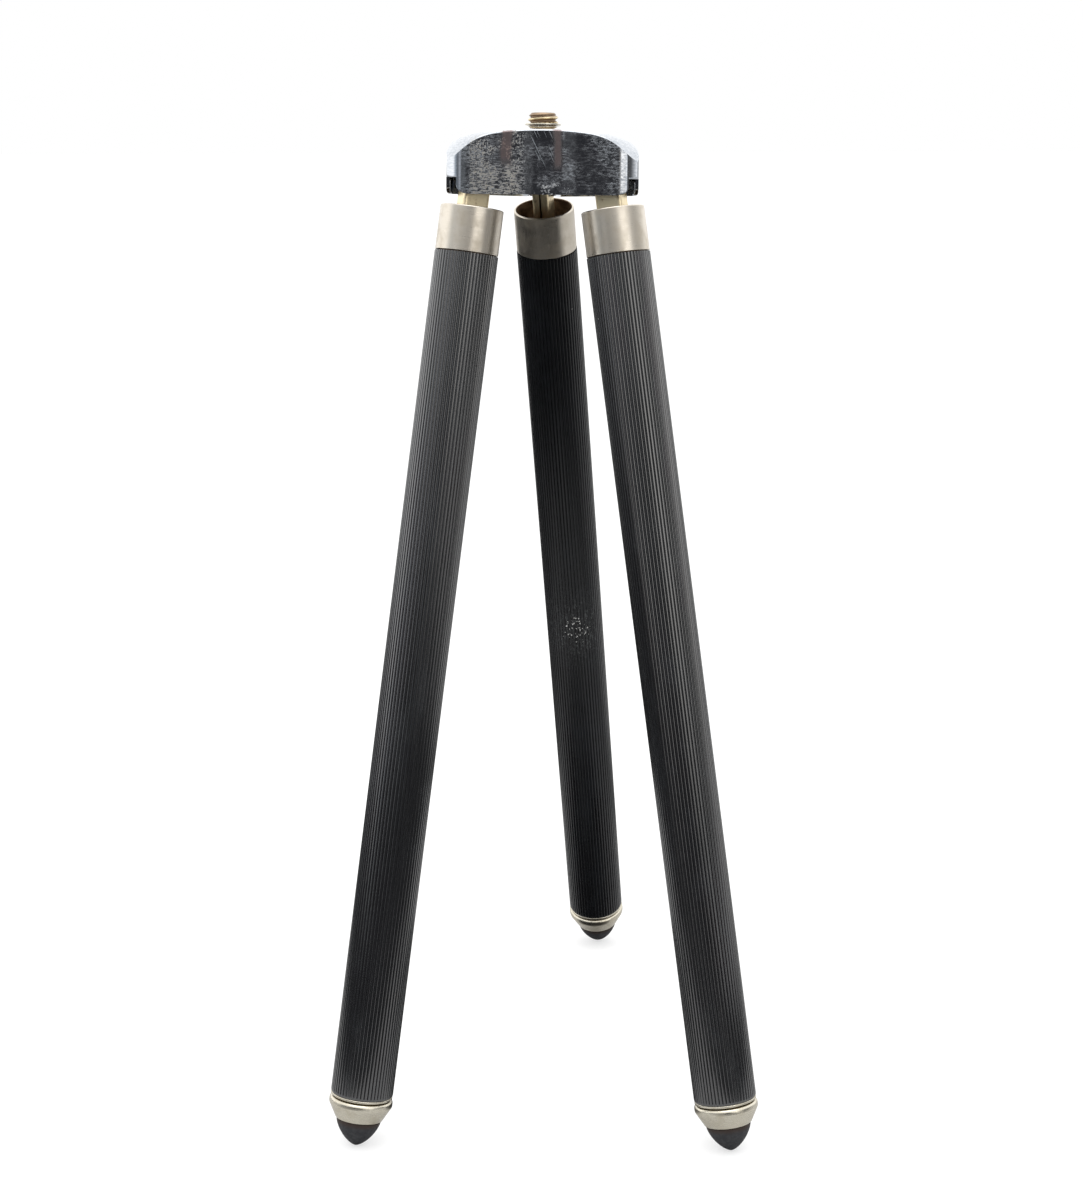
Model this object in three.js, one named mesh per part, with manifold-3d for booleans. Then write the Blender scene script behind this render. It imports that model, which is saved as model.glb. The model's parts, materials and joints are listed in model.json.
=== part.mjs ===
// A pocket tripod of nested metal tubes. Its legs are pushed together and it stands on three rubber feet.
// Millimetres, +Z up, the front of the head faces -Y. Depths are measured down a leg from its hinge pin.
//
// Head frame: origin on the head's axis, level with the hinge pins, Z up the axis.
// Leg frame: origin in the middle of the hinge pin, X outwards, Y along the pin, the leg runs down -Z.

import * as THREE from 'three';
import { mergeVertices } from 'three/addons/utils/BufferGeometryUtils.js';
import Module from 'manifold-3d';

const wasm = await Module();
wasm.setup();

const GAP = 0.3; // between neighbours that are fixed together
const OVERCUT = 1; // how far a cutting tool runs past what it cuts
const FULL_TURN = 2 * Math.PI;

// Head
const PIN_RADIUS = 24.2; // head axis to hinge pin
const PIN_ABOVE_RIM = 2.8; // hinge pin above the cap's lower edge
const CAP_BOTTOM = -PIN_ABOVE_RIM;
const CAP_HEIGHT = 21.8;
const CAP_TOP = CAP_BOTTOM + CAP_HEIGHT;
const CAP_SHEET = 1;
const FACET_DISTANCE = 20.1; // head axis to each flat side
const CORNER_CENTRE = 26.7; // head axis to the middle of each corner's round
const CROWN_CURVE = 110; // radius of the shallow top
const SHOULDER_START = 23.5; // where the top starts to fall away
const SHOULDER_CURVE = 14;
const DOME_REACH = 34; // a little more than the corners
const SLOT_WIDTH = 6.6;
const SLOT_HEIGHT = 5.1;
const SLOT_MOUTH = 3; // radius of the flared lower corners of a slot

const SHANK_RADIUS = 4;
const SHANK_BOTTOM = 3.6;
const THREAD_RADIUS = 4.76; // 3/8 inch photographic thread
const THREAD_TOP = CAP_TOP + 3.8;
const THREAD_CHAMFER = 0.7;
const SEAT_RADIUS = 5.65; // the small round shoulder that the camera rests on
const SEAT_BOTTOM = CAP_TOP + 0.05;
const SEAT_TOP = CAP_TOP + 0.45;

const PLATE_TOP = 12.2;
const PLATE_THICKNESS = 1.2;
const PLATE_BOTTOM = PLATE_TOP - PLATE_THICKNESS;
const PLATE_HUB_RADIUS = 9;
const PLATE_ARM_WIDTH = 10;
const EAR_THICKNESS = 1;
const EAR_RADIUS = 2.7;
const SPACER_RADIUS = 7.5;
const WASHER_RADIUS = 7;
const WASHER_THICKNESS = 0.8;
const NUT_ACROSS_CORNERS = 13;
const NUT_HEIGHT = 5;

const HINGE_PIN_RADIUS = 1.3;
const HINGE_PIN_HOLE = 1.38;
const HINGE_HEAD_RADIUS = 1.8;
const HINGE_HEAD_THICKNESS = 0.7;

// Leg, from the hinge down
const TONGUE_DEPTH = 9; // in the leg's X
const TONGUE_WIDTH = 5.4; // along the hinge pin
const TONGUE_SHEET = 0.7;
const TONGUE_SEAM = 0.6;
const COLLAR_TOP = 7;
const COLLAR_HEIGHT = 14;
const COLLAR_RADIUS = 9.9;
const COLLAR_BORE = 9.1;
const COLLAR_CHAMFER = 0.3;
const COLLAR_WELL = 10; // how deep the open top of the collar is
const PLUG_TOP = COLLAR_TOP + COLLAR_WELL;
const PLUG_HEIGHT = 11.8;
const PLUG_RADIUS = 8.8;
const PLUG_WALL = 1.4;
const PLUG_ROOF = 4;
const BOSS_HEIGHT = 5.4;
const RIVET_RADIUS = 0.9;
const RIVET_HEAD_RADIUS = 1.5;
const RIVET_HEAD_THICKNESS = 0.5;

const TUBE_TOP = COLLAR_TOP + COLLAR_HEIGHT + GAP;
const RIM_BOTTOM = 291.6; // lower end of the outer tube's bright rim
const RIM_HEIGHT = 0.9;
const RIM_GAP = 0.1; // the rim all but touches the ribbed tube
const RIB_COUNT = 54;
const RIB_RADIUS = 10;
const GROOVE_RADIUS = 9.72;
const BORE_RADIUS = 9.2; // inside of the ribbed tube

const INNER_TUBES = [
  { name: 'second', outer: 8.8, bore: 8.3, holder: BORE_RADIUS },
  { name: 'third', outer: 7.8, bore: 7.3, holder: 8.3 },
  { name: 'fourth', outer: 6.9, bore: 6.4, holder: 7.3 },
];
const FIRST_INNER_TOP = 31;
const INNER_STAGGER = 30; // each tube stops this far below the one around it, to clear its catch
const CATCH_DEPTH = 24; // catch nose below the top of its tube
const CATCH_NOSE_RADIUS = 0.9;
const CATCH_CLEARANCE = 0.36; // between a nose and the tube around it
const CATCH_LEAF = { thickness: 0.5, width: 3, length: 22, belowNose: 2 };

const FERRULE_TOP = RIM_BOTTOM + 0.4;
const FERRULE_HEIGHT = 6.9;
const FERRULE_RADIUS = 10.2;
const FERRULE_END_RADIUS = 7.6;
const FERRULE_SHOULDER = 1.3;
const SPIGOT_RADIUS = 6.1;
const SPIGOT_HEIGHT = 8;
const CUP_RADIUS = 6.4;
const CUP_DEPTH = 4.5;
const RUBBER_RADIUS = 7.2;
const RUBBER_POINT = 1.5; // 2 makes the foot half an ellipsoid, and less makes it more pointed
const RUBBER_TOP = FERRULE_TOP + FERRULE_HEIGHT + GAP;
const RUBBER_LENGTH = 8.8;

// The front legs stand part open. The rear leg is open to its stop and its hinge is bent askew.
const STOP_ANGLE = 21.7;
const LEGS = [
  { name: 'left', azimuth: 210, splay: 7.7, twist: 0 },
  { name: 'right', azimuth: 330, splay: 9.3, twist: 0 },
  { name: 'rear', azimuth: 90, splay: STOP_ANGLE, twist: -12.8 },
];

// How finely the round shapes are cut into flats
const ROUND = 36; // sides of a tube
const SMALL_ROUND = 20; // sides of a pin
const NOSE_ROUND = 12; // sides of a catch's nose and of its hole
const DOME_ROUND = 60;
const CURVE_STEPS = 8; // along each arc of an extruded outline
const CROWN_STEPS = 3;
const SHOULDER_STEPS = 7;
const FERRULE_STEPS = 4;
const RUBBER_STEPS = 9;
const FLOOR_ROUNDS = 8; // passes that settle the feet on the floor

const MATERIALS = {
  chrome: { color: 0x8d8e90, roughness: 0.18, metalness: 1 },
  nickel: { color: 0xa39a89, roughness: 0.32, metalness: 1 },
  black_lacquer: { color: 0x262727, roughness: 0.42, metalness: 0.1 },
  brass: { color: 0xcfb98a, roughness: 0.38, metalness: 1 },
  worn_brass: { color: 0x94805a, roughness: 0.35, metalness: 1 },
  steel: { color: 0x77777a, roughness: 0.45, metalness: 1 },
  spring_steel: { color: 0x5d6066, roughness: 0.35, metalness: 1 },
  rubber: { color: 0x333334, roughness: 0.85, metalness: 0 },
};

const radians = THREE.MathUtils.degToRad;

// Solids

function solidFrom(geometry) {
  geometry.deleteAttribute('normal');
  geometry.deleteAttribute('uv');
  const welded = mergeVertices(geometry);
  const corners = welded.getIndex().array;
  const triangles = [];
  for (let first = 0; first < corners.length; first += 3) {
    const [a, b, c] = corners.slice(first, first + 3);
    if (a !== b && b !== c && c !== a) triangles.push(a, b, c);
  }
  return new wasm.Manifold(new wasm.Mesh({
    numProp: 3,
    vertProperties: new Float32Array(welded.attributes.position.array),
    triVerts: new Uint32Array(triangles),
  }));
}

function geometryFrom(solid) {
  const { vertProperties, triVerts } = solid.getMesh();
  const geometry = new THREE.BufferGeometry();
  geometry.setAttribute('position', new THREE.BufferAttribute(vertProperties, 3));
  geometry.setIndex(new THREE.BufferAttribute(triVerts, 1));
  geometry.computeVertexNormals();
  return geometry;
}

// A profile is a list of [radius, height] pairs that climbs on its outer side.
function turned(profile, sides) {
  const points = profile.map(([radius, height]) => new THREE.Vector2(radius, height));
  const geometry = new THREE.LatheGeometry(points, sides);
  geometry.rotateX(Math.PI / 2);
  return solidFrom(geometry);
}

function rod(radius, bottom, top, sides = SMALL_ROUND) {
  return turned([[0, bottom], [radius, bottom], [radius, top], [0, top]], sides);
}

// A pin with the same low head at both ends, lying along Y.
function headedPin(radius, headRadius, headThickness, shankHalf) {
  const end = shankHalf + headThickness;
  return turned([
    [0, -end], [headRadius, -end], [headRadius, -shankHalf], [radius, -shankHalf],
    [radius, shankHalf], [headRadius, shankHalf], [headRadius, end], [0, end],
  ], SMALL_ROUND).rotate([90, 0, 0]);
}

function pinHole(radius, x, z, reach) {
  return rod(radius, -reach, reach).rotate([90, 0, 0]).translate([x, 0, z]);
}

function block([xLow, xHigh], [yLow, yHigh], [zLow, zHigh]) {
  const geometry = new THREE.BoxGeometry(xHigh - xLow, yHigh - yLow, zHigh - zLow);
  geometry.translate((xLow + xHigh) / 2, (yLow + yHigh) / 2, (zLow + zHigh) / 2);
  return solidFrom(geometry);
}

function raised(shape, bottom, top) {
  const geometry = new THREE.ExtrudeGeometry(shape, {
    depth: top - bottom,
    bevelEnabled: false,
    curveSegments: CURVE_STEPS,
  });
  geometry.translate(0, 0, bottom);
  return solidFrom(geometry);
}

// A shape drawn in X and Z, made thick along Y.
function upright(shape, yLow, yHigh) {
  return raised(shape, -yHigh, -yLow).rotate([90, 0, 0]);
}

function circlePoints(radius, sides) {
  return Array.from({ length: sides }, (_, side) => {
    const angle = (side / sides) * FULL_TURN;
    return new THREE.Vector2(radius * Math.cos(angle), radius * Math.sin(angle));
  });
}

function arc([centreRadius, centreHeight], curve, fromDegrees, toDegrees, steps) {
  return Array.from({ length: steps + 1 }, (_, step) => {
    const angle = radians(fromDegrees + ((toDegrees - fromDegrees) * step) / steps);
    return [centreRadius + curve * Math.cos(angle), centreHeight + curve * Math.sin(angle)];
  });
}

// Head pieces

// The cap's plan: a triangle with round corners towards the three legs.
function capPlan(facetDistance) {
  const cornerRadius = facetDistance - CORNER_CENTRE / 2;
  const plan = new THREE.Shape();
  for (const azimuth of [90, 210, 330]) {
    const middle = radians(azimuth);
    plan.absarc(
      CORNER_CENTRE * Math.cos(middle),
      CORNER_CENTRE * Math.sin(middle),
      cornerRadius,
      middle - Math.PI / 3,
      middle + Math.PI / 3,
    );
  }
  return plan;
}

// Everything below the cap's crown, sunk by the sheet's thickness for the inside.
function underCrown(sunk, bottom) {
  const crownCentre = CAP_TOP - CROWN_CURVE;
  const lean = Math.asin(SHOULDER_START / CROWN_CURVE);
  const shoulderCentre = [
    (CROWN_CURVE - SHOULDER_CURVE) * Math.sin(lean),
    crownCentre + (CROWN_CURVE - SHOULDER_CURVE) * Math.cos(lean),
  ];
  const shoulderCurve = SHOULDER_CURVE - sunk;
  const leanDegrees = 90 - THREE.MathUtils.radToDeg(lean);
  const outerLean = Math.acos((DOME_REACH - shoulderCentre[0]) / SHOULDER_CURVE);
  const outerDegrees = THREE.MathUtils.radToDeg(outerLean);
  const shoulder = arc(shoulderCentre, shoulderCurve, outerDegrees, leanDegrees, SHOULDER_STEPS);
  const crown = arc([0, crownCentre], CROWN_CURVE - sunk, leanDegrees, 90, CROWN_STEPS).slice(1);
  const reach = shoulder[0][0];
  return turned([[0, bottom], [reach, bottom], ...shoulder, ...crown], DOME_ROUND);
}

function legSlot(azimuth) {
  const half = SLOT_WIDTH / 2;
  const mouth = half + SLOT_MOUTH;
  const outline = new THREE.Shape();
  outline.moveTo(-mouth, -OVERCUT);
  outline.lineTo(mouth, -OVERCUT);
  outline.lineTo(mouth, 0);
  outline.absarc(mouth, SLOT_MOUTH, SLOT_MOUTH, 1.5 * Math.PI, Math.PI, true);
  outline.lineTo(half, SLOT_HEIGHT);
  outline.lineTo(-half, SLOT_HEIGHT);
  outline.absarc(-mouth, SLOT_MOUTH, SLOT_MOUTH, 0, -0.5 * Math.PI, true);
  return upright(outline, PIN_RADIUS, DOME_REACH)
    .rotate([0, 0, azimuth - 90])
    .translate([0, 0, CAP_BOTTOM]);
}

function headCap() {
  const outside = raised(capPlan(FACET_DISTANCE), CAP_BOTTOM, CAP_TOP + OVERCUT)
    .intersect(underCrown(0, CAP_BOTTOM - OVERCUT));
  const inside = raised(capPlan(FACET_DISTANCE - CAP_SHEET), CAP_BOTTOM - OVERCUT, CAP_TOP)
    .intersect(underCrown(CAP_SHEET, CAP_BOTTOM - 2 * OVERCUT));
  let cap = outside.subtract(inside).subtract(rod(SHANK_RADIUS + GAP, PLATE_TOP, CAP_TOP + OVERCUT));
  for (const { azimuth } of LEGS) cap = cap.subtract(legSlot(azimuth));
  return cap;
}

function cameraScrew() {
  return turned([
    [0, SHANK_BOTTOM],
    [SHANK_RADIUS, SHANK_BOTTOM],
    [SHANK_RADIUS, SEAT_BOTTOM],
    [SEAT_RADIUS, SEAT_BOTTOM],
    [SEAT_RADIUS, SEAT_TOP],
    [THREAD_RADIUS, SEAT_TOP],
    [THREAD_RADIUS, THREAD_TOP - THREAD_CHAMFER],
    [THREAD_RADIUS - THREAD_CHAMFER, THREAD_TOP],
    [0, THREAD_TOP],
  ], ROUND);
}

function ring(innerRadius, outerRadius, bottom, top) {
  return turned([
    [innerRadius, bottom],
    [outerRadius, bottom],
    [outerRadius, top],
    [innerRadius, top],
    [innerRadius, bottom],
  ], ROUND);
}

function capSpacer() {
  return ring(SHANK_RADIUS + GAP, SPACER_RADIUS, PLATE_TOP + GAP, CAP_TOP - CAP_SHEET - 2 * GAP);
}

// One of the two ears that carry a hinge pin, in the leg frame's plane.
function hingeEar(side) {
  const outline = new THREE.Shape();
  outline.moveTo(EAR_RADIUS, PLATE_TOP);
  outline.lineTo(-EAR_RADIUS, PLATE_TOP);
  outline.absarc(0, 0, EAR_RADIUS, Math.PI, FULL_TURN);
  const inner = TONGUE_WIDTH / 2 + GAP;
  const faces = [side * inner, side * (inner + EAR_THICKNESS)].sort((a, b) => a - b);
  return upright(outline, ...faces).subtract(pinHole(HINGE_PIN_HOLE, 0, 0, PIN_RADIUS));
}

function hingeBracket() {
  let bracket = rod(PLATE_HUB_RADIUS, PLATE_BOTTOM, PLATE_TOP, ROUND);
  for (const { azimuth, twist } of LEGS) {
    const half = PLATE_ARM_WIDTH / 2;
    const arm = block([0, PIN_RADIUS + EAR_RADIUS], [-half, half], [PLATE_BOTTOM, PLATE_TOP]);
    const ears = hingeEar(-1).add(hingeEar(1)).rotate([0, 0, twist]).translate([PIN_RADIUS, 0, 0]);
    bracket = bracket.add(arm.add(ears).rotate([0, 0, azimuth]));
  }
  return bracket.subtract(rod(SHANK_RADIUS + GAP, PLATE_BOTTOM - OVERCUT, PLATE_TOP + OVERCUT));
}

function screwWasher() {
  const top = PLATE_BOTTOM - GAP;
  return ring(SHANK_RADIUS + GAP, WASHER_RADIUS, top - WASHER_THICKNESS, top);
}

function screwNut() {
  const top = PLATE_BOTTOM - 2 * GAP - WASHER_THICKNESS;
  const hexagon = rod(NUT_ACROSS_CORNERS / 2, top - NUT_HEIGHT, top, 6);
  return hexagon.subtract(rod(SHANK_RADIUS + GAP, top - NUT_HEIGHT - OVERCUT, top + OVERCUT));
}

function hingePin() {
  const shankHalf = TONGUE_WIDTH / 2 + GAP + EAR_THICKNESS + GAP / 2;
  return headedPin(HINGE_PIN_RADIUS, HINGE_HEAD_RADIUS, HINGE_HEAD_THICKNESS, shankHalf);
}

// Leg pieces. Each is drawn with its own top at height 0, apart from the tongue and its rivet,
// which are drawn about their pins.

const RIVET_DEPTH = PLUG_TOP - BOSS_HEIGHT / 2;
const TONGUE_END = PLUG_TOP - GAP;

function rectangle(width, height) {
  const outline = new THREE.Shape();
  outline.moveTo(-width / 2, -height / 2);
  outline.lineTo(width / 2, -height / 2);
  outline.lineTo(width / 2, height / 2);
  outline.lineTo(-width / 2, height / 2);
  return outline;
}

// A box folded from sheet, its seam towards the head's axis, round at the top to turn under the cap.
function legTongue() {
  const half = TONGUE_DEPTH / 2;
  const bore = rectangle(TONGUE_DEPTH - 2 * TONGUE_SHEET, TONGUE_WIDTH - 2 * TONGUE_SHEET);
  const box = raised(rectangle(TONGUE_DEPTH, TONGUE_WIDTH), -TONGUE_END, half)
    .subtract(raised(bore, -TONGUE_END - OVERCUT, half + OVERCUT));
  const seam = block(
    [-half - OVERCUT, 0],
    [-TONGUE_SEAM / 2, TONGUE_SEAM / 2],
    [-TONGUE_END - OVERCUT, half],
  );
  const outline = new THREE.Shape();
  outline.moveTo(-half, -TONGUE_END);
  outline.lineTo(half, -TONGUE_END);
  outline.absarc(0, 0, half, 0, Math.PI);
  return box.subtract(seam)
    .intersect(upright(outline, -TONGUE_WIDTH, TONGUE_WIDTH))
    .subtract(pinHole(HINGE_PIN_HOLE, 0, 0, TONGUE_WIDTH))
    .subtract(pinHole(RIVET_RADIUS + GAP / 2, 0, -RIVET_DEPTH, TONGUE_WIDTH));
}

function tongueRivet() {
  return headedPin(RIVET_RADIUS, RIVET_HEAD_RADIUS, RIVET_HEAD_THICKNESS, TONGUE_WIDTH / 2 + GAP / 2);
}

function collar() {
  const outerChamfer = COLLAR_RADIUS - COLLAR_CHAMFER;
  return turned([
    [COLLAR_BORE, -COLLAR_HEIGHT],
    [COLLAR_RADIUS, -COLLAR_HEIGHT],
    [COLLAR_RADIUS, -COLLAR_CHAMFER],
    [outerChamfer, 0],
    [COLLAR_BORE, 0],
    [COLLAR_BORE, -COLLAR_HEIGHT],
  ], ROUND);
}

// Joins the tongue, the collar and the ribbed tube.
function legPlug() {
  const inner = PLUG_RADIUS - PLUG_WALL;
  const cup = turned([
    [0, -PLUG_ROOF], [inner, -PLUG_ROOF], [inner, -PLUG_HEIGHT], [PLUG_RADIUS, -PLUG_HEIGHT],
    [PLUG_RADIUS, 0], [0, 0],
  ], ROUND);
  const bossX = TONGUE_DEPTH / 2 - TONGUE_SHEET - GAP;
  const bossY = TONGUE_WIDTH / 2 - TONGUE_SHEET - GAP;
  const boss = block([-bossX, bossX], [-bossY, bossY], [-OVERCUT, BOSS_HEIGHT]);
  return cup.add(boss).subtract(pinHole(RIVET_RADIUS + GAP / 2, 0, BOSS_HEIGHT / 2, TONGUE_WIDTH));
}

function ribbedTube() {
  const points = Array.from({ length: 2 * RIB_COUNT }, (_, step) => {
    const radius = step % 2 ? GROOVE_RADIUS : RIB_RADIUS;
    const angle = (step / (2 * RIB_COUNT)) * FULL_TURN;
    return new THREE.Vector2(radius * Math.cos(angle), radius * Math.sin(angle));
  });
  const section = new THREE.Shape(points);
  section.holes.push(new THREE.Path(circlePoints(BORE_RADIUS, ROUND)));
  return raised(section, TUBE_TOP - RIM_BOTTOM + RIM_HEIGHT, 0);
}

function rimRing() {
  return ring(BORE_RADIUS, RIB_RADIUS, RIM_GAP - RIM_HEIGHT, 0);
}

function innerTube({ outer, bore }, top) {
  const tube = ring(bore, outer, top - FERRULE_TOP + GAP, 0);
  const hole = rod(CATCH_NOSE_RADIUS + GAP, 0, outer + OVERCUT, NOSE_ROUND).rotate([0, 90, 0]);
  return tube.subtract(hole.translate([0, 0, -CATCH_DEPTH]));
}

// A flat spring inside a tube, with the nose that it pushes out through the tube's wall.
function springCatch({ bore, holder }) {
  const { thickness, width, length, belowNose } = CATCH_LEAF;
  const leafFace = Math.sqrt(bore ** 2 - (width / 2) ** 2) - GAP;
  const bottom = -CATCH_DEPTH - belowNose;
  const leaf = block([leafFace - thickness, leafFace], [-width / 2, width / 2], [bottom, bottom + length]);
  const tip = holder - CATCH_CLEARANCE;
  const nose = turned([
    [0, leafFace - thickness / 2],
    [CATCH_NOSE_RADIUS, leafFace - thickness / 2],
    [CATCH_NOSE_RADIUS, tip - GAP],
    [CATCH_NOSE_RADIUS - GAP, tip],
    [0, tip],
  ], NOSE_ROUND).rotate([0, 90, 0]).translate([0, 0, -CATCH_DEPTH]);
  return leaf.add(nose);
}

function footFerrule() {
  const shoulderCentre = [FERRULE_RADIUS - FERRULE_SHOULDER, -FERRULE_SHOULDER];
  return turned([
    [0, CUP_DEPTH - FERRULE_HEIGHT],
    [CUP_RADIUS, CUP_DEPTH - FERRULE_HEIGHT],
    [CUP_RADIUS, -FERRULE_HEIGHT],
    [FERRULE_END_RADIUS, -FERRULE_HEIGHT],
    [FERRULE_RADIUS, -FERRULE_SHOULDER - 2 * GAP],
    ...arc(shoulderCentre, FERRULE_SHOULDER, 0, 90, FERRULE_STEPS),
    [SPIGOT_RADIUS, 0],
    [SPIGOT_RADIUS, SPIGOT_HEIGHT],
    [0, SPIGOT_HEIGHT],
  ], ROUND);
}

// The rubber's outline from its tip up to the ferrule.
const rubberOutline = Array.from({ length: RUBBER_STEPS + 1 }, (_, step) => {
  const angle = (step / RUBBER_STEPS) * (Math.PI / 2);
  const power = 2 / RUBBER_POINT;
  return [RUBBER_RADIUS * Math.sin(angle) ** power, -RUBBER_LENGTH * Math.cos(angle) ** power];
});

// A pointed dome, with a stem that plugs into the ferrule.
function rubberFoot() {
  const stemRadius = CUP_RADIUS - GAP;
  return turned([...rubberOutline, [stemRadius, 0], [stemRadius, CUP_DEPTH], [0, CUP_DEPTH]], ROUND);
}

// Assembly

function piece(name, material, solid, depth = 0) {
  const mesh = new THREE.Mesh(geometryFrom(solid), new THREE.MeshStandardMaterial(MATERIALS[material]));
  mesh.name = name;
  mesh.position.z = -depth;
  return mesh;
}

function buildHead() {
  const head = new THREE.Group();
  head.add(
    piece('head_cap', 'chrome', headCap()),
    piece('camera_screw', 'worn_brass', cameraScrew()),
    piece('cap_spacer', 'steel', capSpacer()),
    piece('hinge_bracket', 'steel', hingeBracket()),
    piece('screw_washer', 'steel', screwWasher()),
    piece('screw_nut', 'steel', screwNut()),
  );
  return head;
}

// The frame of a leg's hinge, before the leg swings about it.
function hingeFrame({ azimuth, twist }) {
  const frame = new THREE.Group();
  const direction = radians(azimuth);
  frame.position.set(PIN_RADIUS * Math.cos(direction), PIN_RADIUS * Math.sin(direction), 0);
  frame.rotation.z = radians(azimuth + twist);
  return frame;
}

function buildLeg({ name, splay }) {
  const leg = new THREE.Group();
  leg.rotation.y = -radians(splay);
  leg.add(
    piece(`${name}_tongue`, 'brass', legTongue()),
    piece(`${name}_tongue_rivet`, 'steel', tongueRivet(), RIVET_DEPTH),
    piece(`${name}_collar`, 'nickel', collar(), COLLAR_TOP),
    piece(`${name}_plug`, 'brass', legPlug(), PLUG_TOP),
    piece(`${name}_ribbed_tube`, 'black_lacquer', ribbedTube(), TUBE_TOP),
    piece(`${name}_rim_ring`, 'nickel', rimRing(), RIM_BOTTOM - RIM_HEIGHT + RIM_GAP),
    piece(`${name}_foot_ferrule`, 'nickel', footFerrule(), FERRULE_TOP),
    piece(`${name}_rubber_foot`, 'rubber', rubberFoot(), RUBBER_TOP),
  );
  INNER_TUBES.forEach((tube, place) => {
    const top = FIRST_INNER_TOP + place * INNER_STAGGER;
    leg.add(
      piece(`${name}_${tube.name}_tube`, 'brass', innerTube(tube, top), top),
      piece(`${name}_${tube.name}_catch`, 'spring_steel', springCatch(tube), top),
    );
  });
  return leg;
}

// Where a foot's rubber touches a floor with this upward normal.
function footContact(centre, axis, normal) {
  const sideways = normal.clone().addScaledVector(axis, -normal.dot(axis)).normalize();
  const lowPoints = rubberOutline.map(([radius, height]) => (
    centre.clone().addScaledVector(axis, height).addScaledVector(sideways, -radius)
  ));
  return lowPoints.reduce((lowest, point) => (point.dot(normal) < lowest.dot(normal) ? point : lowest));
}

// The upward normal, in the head frame, of the floor that all three feet touch.
function floorNormal(feet) {
  let normal = new THREE.Vector3(0, 0, 1);
  for (let round = 0; round < FLOOR_ROUNDS; round += 1) {
    const [left, right, rear] = feet.map(({ centre, axis }) => footContact(centre, axis, normal));
    normal = right.sub(left).cross(rear.sub(left)).normalize();
  }
  return normal;
}

const tripod = new THREE.Group();
const head = buildHead();
tripod.add(head);
const feet = LEGS.map((leg) => {
  const frame = hingeFrame(leg);
  const pin = piece(`${leg.name}_hinge_pin`, 'steel', hingePin());
  const body = buildLeg(leg);
  frame.add(pin, body);
  head.add(frame);
  head.updateMatrixWorld(true);
  const axis = new THREE.Vector3().setFromMatrixColumn(body.matrixWorld, 2);
  return { centre: body.localToWorld(new THREE.Vector3(0, 0, -RUBBER_TOP)), axis };
});

head.quaternion.setFromUnitVectors(floorNormal(feet), new THREE.Vector3(0, 0, 1));
const bounds = new THREE.Box3().setFromObject(tripod, true);
const middle = bounds.getCenter(new THREE.Vector3());
head.position.set(-middle.x, -middle.y, -bounds.min.z);
tripod.updateMatrixWorld(true);

export default tripod;
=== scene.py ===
"""The looks of a closed telescoping pocket tripod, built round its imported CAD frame.

Each piece is drawn in the frame of the head or of its own leg, in millimetres, and then placed.
Head frame: origin on the head's axis, level with the hinge pins, X right, Y back, Z up the axis.
Leg frame: origin in the middle of the hinge pin, X outwards, Y along the pin, the leg running down -Z.
"""

import json
import math
from collections import namedtuple

import bpy
from mathutils import Matrix, Vector


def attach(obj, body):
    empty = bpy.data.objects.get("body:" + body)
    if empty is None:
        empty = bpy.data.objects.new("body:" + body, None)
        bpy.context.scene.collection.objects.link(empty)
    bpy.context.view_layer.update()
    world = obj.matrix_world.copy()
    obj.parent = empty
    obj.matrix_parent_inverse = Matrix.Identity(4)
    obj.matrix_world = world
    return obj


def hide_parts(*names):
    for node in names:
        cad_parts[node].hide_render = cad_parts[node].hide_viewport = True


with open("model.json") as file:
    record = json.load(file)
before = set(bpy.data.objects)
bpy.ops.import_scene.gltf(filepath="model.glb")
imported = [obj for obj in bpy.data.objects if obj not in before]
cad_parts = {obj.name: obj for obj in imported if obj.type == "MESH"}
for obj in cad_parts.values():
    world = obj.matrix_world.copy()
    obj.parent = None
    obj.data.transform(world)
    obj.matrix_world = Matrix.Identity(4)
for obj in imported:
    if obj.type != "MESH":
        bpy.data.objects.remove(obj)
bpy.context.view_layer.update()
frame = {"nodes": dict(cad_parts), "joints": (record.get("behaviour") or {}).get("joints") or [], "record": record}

MM = 0.001
FULL_TURN = 2 * math.pi
LEGS = ("left", "right", "rear")
NESTED = ("second", "third", "fourth")

# Camera, in front of the flat side of the head and a little above it
CAMERA_PLACE = (0.0005, -0.789, 0.369)
CAMERA_DOWN = 14.87
CAMERA_ROLL = 0.16
CAMERA_LENS = 72.54
CAMERA_SENSOR = 36

# Studio. The table is white to look at. In reflections it is dark, apart from a pale ring
# round the feet, its right-hand part behind them, and its far ends.
TABLE_HALF = 4.0
TABLE_SHADE = 0.42
TABLE_LIFT = 0.6
TABLE_INNER = (0.070, 0.085)
TABLE_OUTER = (0.17, 0.28)
TABLE_BEHIND = (0.15, 0.6)
TABLE_ENDS = (1.5, 2.4)
TABLE_PALE = 0.5
TABLE_DARK = 0.02
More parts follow.
